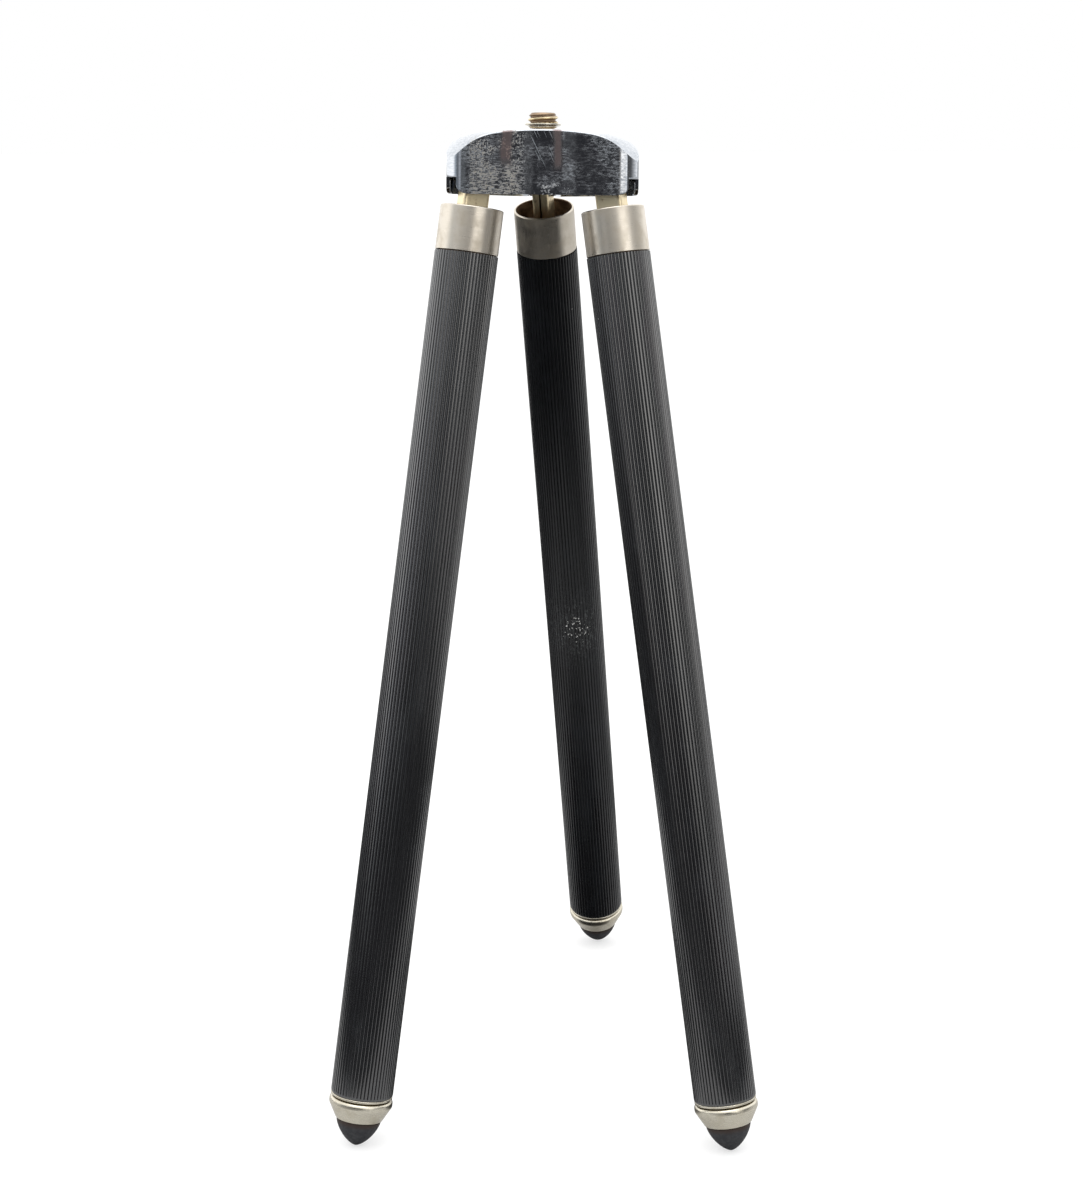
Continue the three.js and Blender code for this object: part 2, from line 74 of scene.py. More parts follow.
# The room's walls are (degrees round from the front, colour, 1 where the wall reaches down to the table).
WALL_GAIN = 2.2
WALL_FOOT = (0.0, 0.16)
WALL_LOW_FOOT = (-0.11, -0.07)
CEILING_FOOT = (0.15, 0.5)
LOW_SHADE = 0.02
CEILING_SHADE = 0.65
WALLS = (
    (-180, (0.62, 0.62, 0.62), 1),
    (-84, (0.76, 0.76, 0.76), 1),
    (-70, (0.22, 0.245, 0.27), 1),
    (-52, (0.12, 0.13, 0.145), 0),
    (-46, (0.28, 0.29, 0.31), 0),
    (-40, (0.28, 0.29, 0.31), 0),
    (-34, (0.05, 0.053, 0.056), 0),
    (-16, (0.05, 0.053, 0.056), 0),
    (-8, (0.014, 0.014, 0.016), 0),
    (8, (0.014, 0.014, 0.016), 0),
    (14, (0.13, 0.12, 0.11), 0),
    (20, (0.95, 0.93, 0.90), 0),
    (40, (0.95, 0.93, 0.90), 0),
    (48, (0.80, 0.80, 0.80), 1),
    (56, (0.04, 0.04, 0.04), 1),
    (78, (0.07, 0.07, 0.07), 1),
    (104, (0.36, 0.36, 0.36), 1),
    (130, (0.65, 0.65, 0.65), 1),
    (180, (0.62, 0.62, 0.62), 1),
)
OVERHEAD = ("overhead_box", (0, -0.2, 1.5), (1.2, 1.2), 7)

# Head cap
SLOT_STEPS = 8
MOUTH_STEPS = 9
FLAT_STEPS = 24
DOME_STEPS = 26
FILLET_STEPS = 7
WALL_ROWS = 8
SLOT_ROWS = 8
SHEET = 1.0
CORNER_CENTRE = 26.7
CORNER_HALF_TURN = math.radians(60)
CROWN_CURVE = 110
SHOULDER_START = 23.5
SHOULDER_CURVE = 14
RIM_FILLET = 0.5
SLOT_WIDTH = 6.6
SLOT_HEIGHT = 5.1
SLOT_MOUTH = 3.0
FACET_BULGE = 0.12

# Camera screw
SCREW_SHANK = 4.0
THREAD_ROWS = 84
THREAD_PITCH = 1.5875
THREAD_DEPTH = 0.86
THREAD_CHAMFER = 1.15
SEAT_THICKNESS = 0.4

# Legs
RIB_COUNT = 54
RIB_DEPTH = 0.26
RIB_SQUARENESS = 4
POINTS_PER_RIB = 8
RIB_END_DROP = 0.35
RIB_FADE = 0.8
RIB_ROWS = 24
TONGUE_ROWS = 14
TONGUE_PIN_HOLE = 1.38
TONGUE_RIVET_HOLE = 1.05
TONGUE_SHEET = 0.7
TONGUE_BEND = 1.0
TONGUE_SEAM = 0.6

# Feet
FERRULE_END = 7.6
RUBBER_POINT = 1.5

SEGMENTS = 144


# Frames

joints = {joint["name"]: joint for joint in frame["joints"]}


def placed(origin, x, y, z):
    columns = Matrix((x, y, z)).transposed().to_4x4()
    return Matrix.Translation(origin) @ columns


def pin_place(leg):
    return Vector(joints[f"{leg}_leg_fold"]["pos_m"])


def leg_frame(leg):
    along = -Vector(joints[f"{leg}_leg_fold"]["axis"]).normalized()
    up = -Vector(joints[f"{leg}_second_slide"]["axis"]).normalized()
    return placed(pin_place(leg), along.cross(up).normalized(), along, up)


def head_frame():
    origin = sum((pin_place(leg) for leg in LEGS), Vector()) / len(LEGS)
    up = Vector(frame["record"]["mounts"][0]["axis"]).normalized()
    right = (pin_place("rear") - origin).cross(up).normalized()
    return placed(origin, right, up.cross(right), up)


HEAD = head_frame()
LEG = {leg: leg_frame(leg) for leg in LEGS}

Span = namedtuple("Span", "low high inner outer")


def span(node, place):
    """A CAD node's least and greatest height on a frame's Z, and distance from it, in millimetres."""
    inverse = place.inverted()
    points = [inverse @ vertex.co / MM for vertex in frame["nodes"][node].data.vertices]
    heights = [point.z for point in points]
    distances = [math.hypot(point.x, point.y) for point in points]
    return Span(min(heights), max(heights), min(distances), max(distances))


# Meshes

def object_from(name, vertices, faces, place):
    """A smooth mesh object whose vertices are in millimetres in the frame at place."""
    mesh = bpy.data.meshes.new(name)
    mesh.from_pydata([Vector(vertex) * MM for vertex in vertices], [], faces)
    mesh.validate()
    mesh.update()
    mesh.shade_smooth()
    piece = bpy.data.objects.new(name, mesh)
    piece.matrix_world = place
    bpy.context.scene.collection.objects.link(piece)
    return piece


def add_modifier(piece, kind, **settings):
    modifier = piece.modifiers.new(kind.title(), kind)
    for setting, value in settings.items():
        setattr(modifier, setting, value)
    return modifier


def soften_edges(piece, width):
    """Rounds the sharp edges, and keeps the broad faces flat in shading."""
    add_modifier(piece, "BEVEL", width=width * MM, segments=3, limit_method="ANGLE",
                 angle_limit=math.radians(35), use_clamp_overlap=True, harden_normals=False)
    add_modifier(piece, "WEIGHTED_NORMAL", keep_sharp=True)


def apply_modifiers(piece):
    bpy.context.view_layer.update()
    evaluated = piece.evaluated_get(bpy.context.evaluated_depsgraph_get())
    mesh = bpy.data.meshes.new_from_object(evaluated)
    piece.modifiers.clear()
    piece.data = mesh


def cut(piece, cutters):
    """Cuts these objects out of the piece, and deletes them."""
    for cutter in cutters:
        add_modifier(piece, "BOOLEAN", operation="DIFFERENCE", solver="EXACT", object=cutter)
    apply_modifiers(piece)
    for cutter in cutters:
        bpy.data.objects.remove(cutter)


def rounded(corners, steps=5, closed=True):
    """The outline through (across, up, radius) corners, each turned with an arc of its radius."""
    outline = []
    count = len(corners)
    for index, (across, up, radius) in enumerate(corners):
        corner = Vector((across, up))
        at_end = not closed and index in (0, count - 1)
        if radius == 0 or at_end:
            outline.append(tuple(corner))
            continue
        before = (Vector(corners[index - 1][:2]) - corner)
        after = (Vector(corners[(index + 1) % count][:2]) - corner)
        half = before.angle(after) / 2
        reach = min(radius / math.tan(half), 0.49 * before.length, 0.49 * after.length)
        radius = reach * math.tan(half)
        centre = corner + (before.normalized() + after.normalized()).normalized() * radius / math.sin(half)
        start = corner + before.normalized() * reach - centre
        finish = corner + after.normalized() * reach - centre
        turn = start.angle_signed(finish)
        for step in range(steps + 1):
            angle = -turn * step / steps
            outline.append((
                centre.x + start.x * math.cos(angle) - start.y * math.sin(angle),
                centre.y + start.x * math.sin(angle) + start.y * math.cos(angle),
            ))
    return outline


def turned(name, profile, place, segments=SEGMENTS, closed=True):
    """A surface of revolution. The profile of (radius, height) pairs climbs on its outer side."""
    vertices = []
    rings = []
    for radius, height in profile:
        if radius == 0:
            rings.append([len(vertices)] * segments)
            vertices.append((0, 0, height))
            continue
        rings.append(range(len(vertices), len(vertices) + segments))
        for segment in range(segments):
            angle = FULL_TURN * segment / segments
            vertices.append((radius * math.cos(angle), radius * math.sin(angle), height))
    pairs = list(zip(rings, rings[1:]))
    if closed:
        pairs.append((rings[-1], rings[0]))
    return object_from(name, vertices, [face for pair in pairs for face in band(*pair)], place)


def band(lower, upper):
    """The faces between two rings of vertices, where either may be one repeated point."""
    faces = []
    count = len(lower)
    for segment in range(count):
        following = (segment + 1) % count
        corners = (lower[segment], lower[following], upper[following], upper[segment])
        face = [corner for place, corner in enumerate(corners) if corner not in corners[:place]]
        if len(face) > 2:
            faces.append(face)
    return faces


def rod_object(radius, place, start, direction, length):
    """A plain cylinder, only used to cut holes."""
    turn = Vector((0, 0, 1)).rotation_difference(Vector(direction)).to_matrix().to_4x4()
    at = place @ Matrix.Translation(Vector(start) * MM) @ turn
    return turned("cutter", [(0, 0), (radius, 0), (radius, length), (0, length)], at, 32, closed=False)


# Finishes

class Finish:
    """A Principled material. Its patterns are laid out in millimetres in the piece's own frame."""

    def __init__(self, name, **sockets):
        self.material = bpy.data.materials.new(name)
        self.material.use_nodes = True
        self.tree = self.material.node_tree
        self.shader = self.tree.nodes["Principled BSDF"]
        for socket, value in sockets.items():
            self.put(socket.replace("_", " ").title().replace("Ior", "IOR"), value)

    def put(self, socket, value):
        self._feed(self.shader.inputs[socket], value)

    def _feed(self, entry, value):
        if isinstance(value, bpy.types.NodeSocket):
            self.tree.links.new(value, entry)
        elif entry.type == "RGBA":
            entry.default_value = (*value, 1)
        else:
            entry.default_value = value

    def node(self, kind, entries, **settings):
        node = self.tree.nodes.new("ShaderNode" + kind)
        for setting, value in settings.items():
            setattr(node, setting, value)
        for entry, value in entries.items():
            self._feed(node.inputs[entry], value)
        return node

    def place(self, stretch=(1, 1, 1), shift=(0, 0, 0)):
        coordinates = self.node("TexCoord", {})
        scale = tuple(part / MM for part in stretch)
        mapping = self.node("Mapping", {"Vector": coordinates.outputs["Object"], "Scale": scale,
                                        "Location": shift})
        return mapping.outputs["Vector"]

    def axis(self, letter):
        return self.node("SeparateXYZ", {"Vector": self.place()}).outputs[letter]

    def noise(self, per_mm, detail=3.0, rough=0.55, **layout):
        node = self.node("TexNoise", {"Vector": self.place(**layout), "Scale": per_mm, "Detail": detail,
                                      "Roughness": rough})
        return node.outputs["Fac"]

    def cells(self, per_mm, **layout):
        node = self.node("TexVoronoi", {"Vector": self.place(**layout), "Scale": per_mm})
        return node.outputs["Distance"]

    def between(self, value, low, high, from_value=0.0, to_value=1.0):
        """0 to 1, or the given values, as value climbs from low to high, eased at both ends."""
        node = self.node("MapRange", {"Value": value, "From Min": low, "From Max": high,
                                      "To Min": from_value, "To Max": to_value},
                         interpolation_type="SMOOTHSTEP")
        return node.outputs["Result"]

    def sum(self, operation, first, second=0.0):
        node = self.node("Math", {0: first, 1: second}, operation=operation)
        return node.outputs["Value"]

    def times(self, first, second):
        return self.sum("MULTIPLY", first, second)

    def more(self, first, second):
        return self.sum("MAXIMUM", first, second)

    def colour(self, share, first, second):
        node = self.node("Mix", {}, data_type="RGBA")
        for entry, value in (("Factor_Float", share), ("A_Color", first), ("B_Color", second)):
            self._feed(next(socket for socket in node.inputs if socket.identifier == entry), value)
        return next(socket for socket in node.outputs if socket.identifier == "Result_Color")

    def bump(self, height, depth_mm, strength=1.0):
        node = self.node("Bump", {"Height": height, "Distance": depth_mm * MM, "Strength": strength})
        self.put("Normal", node.outputs["Normal"])


def chrome_plate():
    """Mirror plate with a scuffed bloom all over, fine pits on the left half, two brown bands of painted
    reflection on the front and two paler bands of painted reflection.
    """
    finish = Finish("chrome_plate")
    x = finish.axis("X")
    y = finish.axis("Y")
    z = finish.axis("Z")
    front = finish.between(y, -19.0, -19.8)
    grains = finish.between(finish.noise(2.1, 4, 0.7), 0.50, 0.60)
    streaks = finish.between(finish.noise(2.0, 4, 0.7, stretch=(0.3, 0.3, 1.3)), 0.48, 0.60)
    patchy = finish.between(finish.noise(0.22, 3), 0.36, 0.58)
    low = finish.between(z, 10, 3)
    left = finish.times(finish.between(x, -2, -9), finish.between(x, -23.2, -22.0))
    pits = finish.more(finish.times(grains, patchy), finish.times(streaks, low))
    pits = finish.times(pits, left)
    bloom = finish.between(finish.noise(1.5, 5, 0.75, stretch=(0.4, 0.4, 1.2)), 0.34, 0.66)
    cloud = finish.between(finish.noise(0.13, 4, 0.6, stretch=(0.7, 0.7, 1.2)), 0.36, 0.62, 0.16, 0.8)
    edges = finish.between(finish.sum("ABSOLUTE", x), 15, 23.5, 0.0, 0.35)
    haze = finish.times(bloom, finish.sum("ADD", cloud, edges))
    rub = finish.between(finish.noise(0.5, 5, 0.75, shift=(3, 1, 2)), 0.47, 0.62)
    offset = finish.sum("ABSOLUTE", finish.sum("SUBTRACT", x, 3.5))
    smudge = finish.times(rub, finish.times(finish.between(z, 2.5, -1.0), finish.between(offset, 8, 3)))
    leaning = finish.sum("ADD", x, finish.times(z, 0.48))
    along = finish.node("CombineXYZ", {"X": leaning, "Z": finish.times(z, 0.05)}).outputs["Vector"]
    fine = finish.node("TexNoise", {"Vector": along, "Scale": 2.4, "Detail": 0.0}).outputs[0]
    scratches = finish.times(finish.between(fine, 0.69, 0.73), finish.between(z, 3, 8))
    scratches = finish.times(scratches, finish.between(finish.sum("ABSOLUTE", x), 7, 3))
    # Two brown upright bands on the front facet are painted reflections of the room, put into the colour,
    # roughness and metal.
    painted_brown_reflections = finish.times(painted_reflection_band(finish, x, -11.2, 1.9), finish.between(z, 4, 9))
    painted_brown_reflections = finish.more(painted_brown_reflections, finish.times(painted_reflection_band(finish, x, 4.4, 1.4), finish.between(z, 3, 7)))
    painted_brown_reflections = finish.times(painted_brown_reflections, front)
    # Two paler upright bands are painted reflections too; they are added to the bloom, so the marks below carry
    # both.
    painted_pale_reflections = finish.more(painted_reflection_band(finish, x, -4.6, 1.7), painted_reflection_band(finish, x, 8.0, 2.2))
    haze_and_pale_reflections = finish.sum("MINIMUM", finish.sum("ADD", haze, finish.times(painted_pale_reflections, 0.25)), 1.0)
    film = finish.colour(pits, (0.25, 0.29, 0.34), (0.40, 0.37, 0.32))
    marks_and_pale_reflections = finish.more(finish.times(haze_and_pale_reflections, 0.6), finish.more(pits, finish.times(scratches, 0.6)))
    marks_and_pale_reflections = finish.more(marks_and_pale_reflections, smudge)
    bright = finish.colour(smudge, film, (0.55, 0.55, 0.55))
    plated = finish.colour(marks_and_pale_reflections, (0.60, 0.62, 0.65), bright)
    finish.put("Base Color", finish.colour(finish.times(painted_brown_reflections, 0.7), plated, (0.15, 0.07, 0.055)))
    spread = finish.more(finish.times(marks_and_pale_reflections, front), finish.times(marks_and_pale_reflections, 0.3))
    finish.put("Roughness", finish.between(finish.more(spread, finish.times(painted_brown_reflections, 0.4)), 0, 1, 0.05, 0.5))
    finish.put("Metallic", finish.between(finish.more(spread, finish.times(painted_brown_reflections, 0.5)), 0, 1, 1.0, 0.3))
    finish.bump(finish.times(pits, -1.0), 0.03, 0.25)
    return finish.material


def painted_reflection_band(finish, x, centre, half_width):
    """An upright band of painted reflection that wanders a little, 1 in its middle and 0 outside."""
    wander = finish.between(finish.noise(0.16, 2, shift=(centre, 0, 0)), 0.3, 0.7, -0.35, 0.35)
    offset = finish.sum("ABSOLUTE", finish.sum("ADD", finish.sum("SUBTRACT", x, centre), wander))
    return finish.between(offset, half_width + 0.7, half_width - 0.9)


def nickel_plate(name, colour, dull):
    """Satin plate with faint lines round the piece, tarnished in soft patches."""
    finish = Finish(name, metallic=1.0)
    lines = finish.noise(1.0, 3, 0.6, stretch=(0.2, 0.2, 6.0))
    tarnish = finish.between(finish.noise(0.2, 4, 0.55), 0.42, 0.72)
    specks = finish.between(finish.noise(2.2, 3, 0.7), 0.72, 0.8)
    darker = (colour[0] * 0.72, colour[1] * 0.68, colour[2] * 0.6)
    stained = finish.colour(finish.times(tarnish, 0.5), colour, darker)
    finish.put("Base Color", finish.colour(finish.times(specks, 0.3), stained, (0.16, 0.12, 0.08)))
    finish.put("Roughness", finish.between(finish.sum("ADD", lines, finish.times(tarnish, 0.4)), 0.2, 1.1,
                                           dull - 0.05, dull + 0.12))
    finish.bump(lines, 0.01, 0.15)
    return finish.material


def dark_inside():
    """Old brown oxide down inside a collar."""
    finish = Finish("dark_oxide", metallic=0.7)
    blotches = finish.noise(0.35, 4)
    finish.put("Base Color", finish.colour(finish.between(blotches, 0.35, 0.65), (0.10, 0.055, 0.03),
                                           (0.26, 0.17, 0.10)))
    finish.put("Roughness", finish.between(blotches, 0.3, 0.7, 0.42, 0.7))
    finish.bump(finish.noise(1.6), 0.05, 0.4)
    return finish.material


def black_lacquer(name, gloss, depth, sideways, spread, flecked):
    """Hard glossy black, with pale flecks and scuffs round one place on the leg's inner side."""
    finish = Finish(name, ior=1.95, specular_ior_level=gloss)
    grain = finish.noise(0.7, 4, 0.6, stretch=(1, 1, 0.1))
    dust = finish.between(finish.noise(0.08, 5, 0.65, stretch=(1, 1, 0.5)), 0.45, 0.75)
    along = finish.sum("ADD", finish.axis("Z"), depth)
    across = finish.sum("SUBTRACT", finish.axis("Y"), sideways)
    squares = finish.sum("ADD", finish.times(along, along), finish.times(across, across))
    distance = finish.sum("SQRT", squares)
    inner_side = finish.between(finish.axis("X"), -3, -6)
    odds = finish.times(finish.between(distance, spread, 0.45 * spread, 0.0001, flecked), inner_side)
    size = finish.between(finish.noise(1.2, 2), 0.32, 0.68, 0.14, 0.42)
    cells = finish.node("TexVoronoi", {"Vector": finish.place(), "Scale": 1.15})
    chance = finish.node("SeparateColor", {"Color": cells.outputs["Color"]}).outputs["Red"]
    chosen = finish.sum("LESS_THAN", chance, odds)
    flecks = finish.times(chosen, finish.sum("LESS_THAN", cells.outputs["Distance"], size))
    scuffed = finish.times(finish.between(finish.noise(1.1, 5, 0.8, stretch=(1, 1, 0.5)), 0.5, 0.64),
                           finish.between(distance, 3 * spread, 0.8 * spread, 0.0, 0.3 * flecked))
    black = finish.colour(finish.times(dust, 0.5), (0.010, 0.0105, 0.012), (0.022, 0.025, 0.029))
    greyed = finish.colour(finish.times(scuffed, inner_side), black, (0.30, 0.32, 0.32))
    finish.put("Base Color", finish.colour(flecks, greyed, (0.72, 0.72, 0.70)))
    rough = finish.between(finish.sum("ADD", grain, finish.times(dust, 0.4)), 0.3, 1.1, 0.13, 0.22)
    finish.put("Roughness", finish.more(rough, finish.times(flecks, 0.7)))
    finish.bump(flecks, 0.02, 0.25)
    return finish.material


def brass(name, colour, dull):
    """Sheet or drawn-tube brass, with lines along the leg and darker spots."""
    finish = Finish(name, metallic=1.0)
    lines = finish.noise(1.6, 3, 0.6, stretch=(1, 1, 0.03))
    spots = finish.between(finish.noise(0.5, 5, 0.65), 0.55, 0.72)
    tarnished = tuple(part * share for part, share in zip(colour, (0.6, 0.52, 0.42)))
    finish.put("Base Color", finish.colour(finish.times(spots, 0.7), colour, tarnished))
    finish.put("Roughness", finish.between(finish.sum("ADD", lines, finish.times(spots, 0.4)), 0.2, 1.1,
                                           dull - 0.08, dull + 0.2))
    finish.bump(lines, 0.02, 0.3)
    return finish.material


def screw_brass():
    """Old brass, bright on the thread's crests and brown in its grooves: partly wear, partly a painted highlight
    on the crests and painted shade in the grooves.
    """
    finish = Finish("screw_brass", metallic=1.0)
    x, y = finish.axis("X"), finish.axis("Y")
    radius = finish.sum("SQRT", finish.sum("ADD", finish.times(x, x), finish.times(y, y)))
    # Colour by distance from the axis: painted shade in the grooves and a painted highlight on the crests, as well
    # as wear.
    wear_and_painted_light = finish.between(finish.sum("ADD", radius, finish.times(finish.noise(0.8, 3), 0.3)), 4.45, 4.9)
    finish.put("Base Color", finish.colour(wear_and_painted_light, (0.30, 0.22, 0.15), (0.80, 0.68, 0.44)))
    finish.put("Roughness", finish.between(wear_and_painted_light, 0, 1, 0.48, 0.24))
    finish.bump(finish.noise(1.5, 3), 0.02, 0.2)
    return finish.material


def plain_steel(name, colour, dull):
    """Unplated steel inside the head and on the springs."""
    finish = Finish(name, metallic=1.0)
    blotches = finish.noise(0.4, 5, 0.65)
    rust = finish.between(blotches, 0.56, 0.7)
    finish.put("Base Color", finish.colour(finish.times(rust, 0.6), colour, (0.14, 0.07, 0.035)))
    finish.put("Roughness", finish.between(blotches, 0.3, 0.7, dull - 0.08, dull + 0.18))
    finish.bump(finish.noise(2.2), 0.03, 0.4)
    return finish.material


def black_rubber():
    """Matt moulded rubber, greyed with dust towards its end, and dark brown with painted shade just under the
    ferrule.
    """
    finish = Finish("black_rubber", specular_ior_level=0.4)
    grain = finish.noise(2.6, 5, 0.7)
    dust = finish.between(finish.noise(0.5, 4, 0.6), 0.4, 0.7)
    blackish = finish.colour(finish.times(dust, 0.6), (0.022, 0.023, 0.027), (0.055, 0.056, 0.060))
    # Painted shade: a dark brown band where the rubber comes out of the ferrule.
    painted_shade_under_ferrule = finish.between(finish.axis("Z"), RUBBER_BASE - 2.6, RUBBER_BASE - 0.4)
    shaded_under_ferrule = finish.colour(finish.times(painted_shade_under_ferrule, 0.85), blackish, (0.035, 0.019, 0.012))
    finish.put("Base Color", shaded_under_ferrule)
    finish.put("Roughness", finish.between(grain, 0.3, 0.7, 0.5, 0.75))
    finish.bump(grain, 0.05, 0.45)
    return finish.material


CHROME = chrome_plate()
COLLAR_NICKEL = nickel_plate("collar_nickel", (0.64, 0.59, 0.51), 0.31)
FERRULE_NICKEL = nickel_plate("ferrule_nickel", (0.66, 0.62, 0.52), 0.26)
OXIDE = dark_inside()
# Gloss, then the flecked place: depth below the hinge, sideways place, size, share of flecks.
# The rear leg has less gloss than the others, to suit how dark it looks: its copy is a darker one that paints in
# the shade the rear leg stands in.
LACQUER = {
    "left": black_lacquer("black_lacquer_left", 0.6, 232, 3, 4, 0.08),
    "right": black_lacquer("black_lacquer_right", 0.6, 158, 4, 9, 0.3),
    "rear": black_lacquer("black_lacquer_rear", 0.14, 162, -2.6, 6.4, 0.75),
}
SHEET_BRASS = brass("sheet_brass", (0.86, 0.74, 0.50), 0.34)
TUBE_BRASS = brass("tube_brass", (0.74, 0.58, 0.33), 0.26)
SCREW_BRASS = screw_brass()
STEEL = plain_steel("plain_steel", (0.34, 0.34, 0.35), 0.42)
SPRING_STEEL = plain_steel("spring_steel", (0.22, 0.24, 0.27), 0.32)
RUBBER_BASE = span("left_foot_ferrule", LEG["left"]).low
RUBBER = black_rubber()


def settle(piece, body, slot, material, *nodes):
    """Gives a piece its finish, its body and the CAD nodes that it stands for."""
    if not piece.data.materials:
        piece.data.materials.append(material)
    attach(piece, body)
    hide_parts(*nodes)


# Head cap

CAP = span("head_cap", HEAD)
CAP_SPACER = span("cap_spacer", HEAD)
SCREW = span("camera_screw", HEAD)


def cap_plan():
    """Once round the cap's wall: (x, y, way it faces, height of its lower edge, whether in a slot)."""
    facet = facet_distance()
    corner_radius = facet - CORNER_CENTRE / 2
    tangent_across = corner_radius * math.sin(CORNER_HALF_TURN)
    facet_half = CORNER_CENTRE * math.sin(CORNER_HALF_TURN)
    slot_edge = math.asin(SLOT_WIDTH / 2 / corner_radius)
    half = [(slot_edge * step / SLOT_STEPS, 0.0, SLOT_HEIGHT, step < SLOT_STEPS)
            for step in range(SLOT_STEPS + 1)]
    for step in range(MOUTH_STEPS + 1):
        turn = math.radians(90) * step / MOUTH_STEPS
        across = SLOT_WIDTH / 2 + SLOT_MOUTH * (1 - math.cos(turn))
        edge = SLOT_MOUTH * (1 - math.sin(turn))
        if across <= tangent_across:
            half.append((math.asin(across / corner_radius), 0.0, edge, False))
        else:
            half.append((CORNER_HALF_TURN, 2 * (across - tangent_across), edge, False))
    start = half[-1][1]
    for step in range(1, FLAT_STEPS + 1):
        half.append((CORNER_HALF_TURN, start + (facet_half - start) * step / FLAT_STEPS, 0.0, False))
    whole = [(-turn, -run, edge, inside) for turn, run, edge, inside in reversed(half[1:-1])] + half
    columns = []
    for azimuth in (90, 210, 330):
        middle = math.radians(azimuth)
        for turn, run, edge, inside in whole:
            facing = middle + turn
            along = facing + math.copysign(math.radians(90), turn)
            bulge = FACET_BULGE * math.sin(math.pi / 2 * min(1, abs(run) / facet_half)) ** 2
            reach = corner_radius + bulge
            x = CORNER_CENTRE * math.cos(middle) + reach * math.cos(facing) + abs(run) * math.cos(along)
            y = CORNER_CENTRE * math.sin(middle) + reach * math.sin(facing) + abs(run) * math.sin(along)
            columns.append((x, y, facing, edge, inside))
    return columns


def facet_distance():
    """From the head's axis to the flat front of the cap."""
    inverse = HEAD.inverted()
    return -min((inverse @ vertex.co).y for vertex in frame["nodes"]["head_cap"].data.vertices) / MM


def cap_section(reach):
    """From the screw to the top of the wall: (distance from the axis and height, way it faces) pairs."""
    crown_centre = Vector((0, CAP.high - CROWN_CURVE))
    lean = math.asin(SHOULDER_START / CROWN_CURVE)
    towards_shoulder = Vector((math.sin(lean), math.cos(lean)))
    shoulder_centre = crown_centre + (CROWN_CURVE - SHOULDER_CURVE) * towards_shoulder

    def dome(distance, sunk):
        if distance < (CROWN_CURVE - sunk) * math.sin(lean):
            centre, curve = crown_centre, CROWN_CURVE - sunk
        else:
            centre, curve = shoulder_centre, SHOULDER_CURVE - sunk
        point = Vector((distance, centre.y + math.sqrt(curve ** 2 - (distance - centre.x) ** 2)))
        return point, (point - centre).normalized()

    fillet_centre, outwards = dome(reach - RIM_FILLET, RIM_FILLET)
    tangent = fillet_centre.x + RIM_FILLET * outwards.x
    hole = SCREW_SHANK + 0.3
    section = [dome(hole + (tangent - hole) * step / DOME_STEPS, 0) for step in range(DOME_STEPS)]
    start = math.atan2(outwards.y, outwards.x)
    for step in range(FILLET_STEPS + 1):
        angle = start * (1 - step / FILLET_STEPS)
        outwards = Vector((math.cos(angle), math.sin(angle)))
        section.append((fillet_centre + RIM_FILLET * outwards, outwards))
    return section


def head_cap():
    """The pressed cap: a dome, a wall round three flats and three corners, and a slot at each corner."""
    columns = cap_plan()
    outside, inside, faces = [], [], []
    slot_top = CAP.low + SLOT_HEIGHT
    for x, y, facing, edge, _ in columns:
        reach = math.hypot(x, y)
        radial = Vector((x / reach, y / reach))
        across = Vector((math.cos(facing), math.sin(facing)))
        section = cap_section(reach)
        top = section[-1][0].y
        low = CAP.low + edge
        heights = [top + (slot_top - top) * step / WALL_ROWS for step in range(1, WALL_ROWS + 1)]
        heights += [slot_top + (low - slot_top) * step / SLOT_ROWS for step in range(1, SLOT_ROWS + 1)]
        for point, outwards in section:
            flat = radial.lerp(across, 1 - outwards.y) * outwards.x
            outside.append(Vector((*(radial * point.x), point.y)))
            inside.append(outside[-1] - SHEET * Vector((*flat, outwards.y)))
        for height in heights:
            outside.append(Vector((x, y, height)))
            inside.append(outside[-1] - SHEET * Vector((*across, 0)))
    rows = len(outside) // len(columns)
    open_from = rows - SLOT_ROWS - 1
    for column, (_, _, _, _, in_slot) in enumerate(columns):
        following = (column + 1) % len(columns)
        last = open_from if in_slot or columns[following][4] else rows - 1
        for row in range(last):
            here, there = column * rows + row, following * rows + row
            faces.append((here, here + 1, there + 1, there))
    cap = object_from("cap_shell", outside + inside, skinned(faces, len(outside)), HEAD)
    drop_loose(cap)
    soften_edges(cap, 0.2)
    settle(cap, "head", "chrome", CHROME, "head_cap")


def skinned(faces, count):
    """Faces for a sheet with two sides: its outside, its inside count vertices later, and its rims."""
    edges = {(face[place - 1], face[place]) for face in faces for place in range(len(face))}
    rims = [(end, start, start + count, end + count) for start, end in edges if (end, start) not in edges]
    inside = [tuple(corner + count for corner in reversed(face)) for face in faces]
    return faces + inside + sorted(rims)


def drop_loose(piece):
    used = sorted({corner for face in piece.data.polygons for corner in face.vertices})
    new_place = {old: new for new, old in enumerate(used)}
    vertices = [piece.data.vertices[old].co.copy() for old in used]
    faces = [[new_place[corner] for corner in face.vertices] for face in piece.data.polygons]
    mesh = bpy.data.meshes.new(piece.data.name)
    mesh.from_pydata(vertices, [], faces)
    mesh.shade_smooth()
    piece.data = mesh


# Camera screw

def thread_depth_at(phase):
    """How deep the thread's groove is, from 0 at its crest to 1 at its root, once round a pitch."""
    from_crest = abs((phase % 1.0) - 0.5) * 2
    crest, root = 0.14, 0.88
    return min(1, max(0, (from_crest - crest) / (root - crest)))


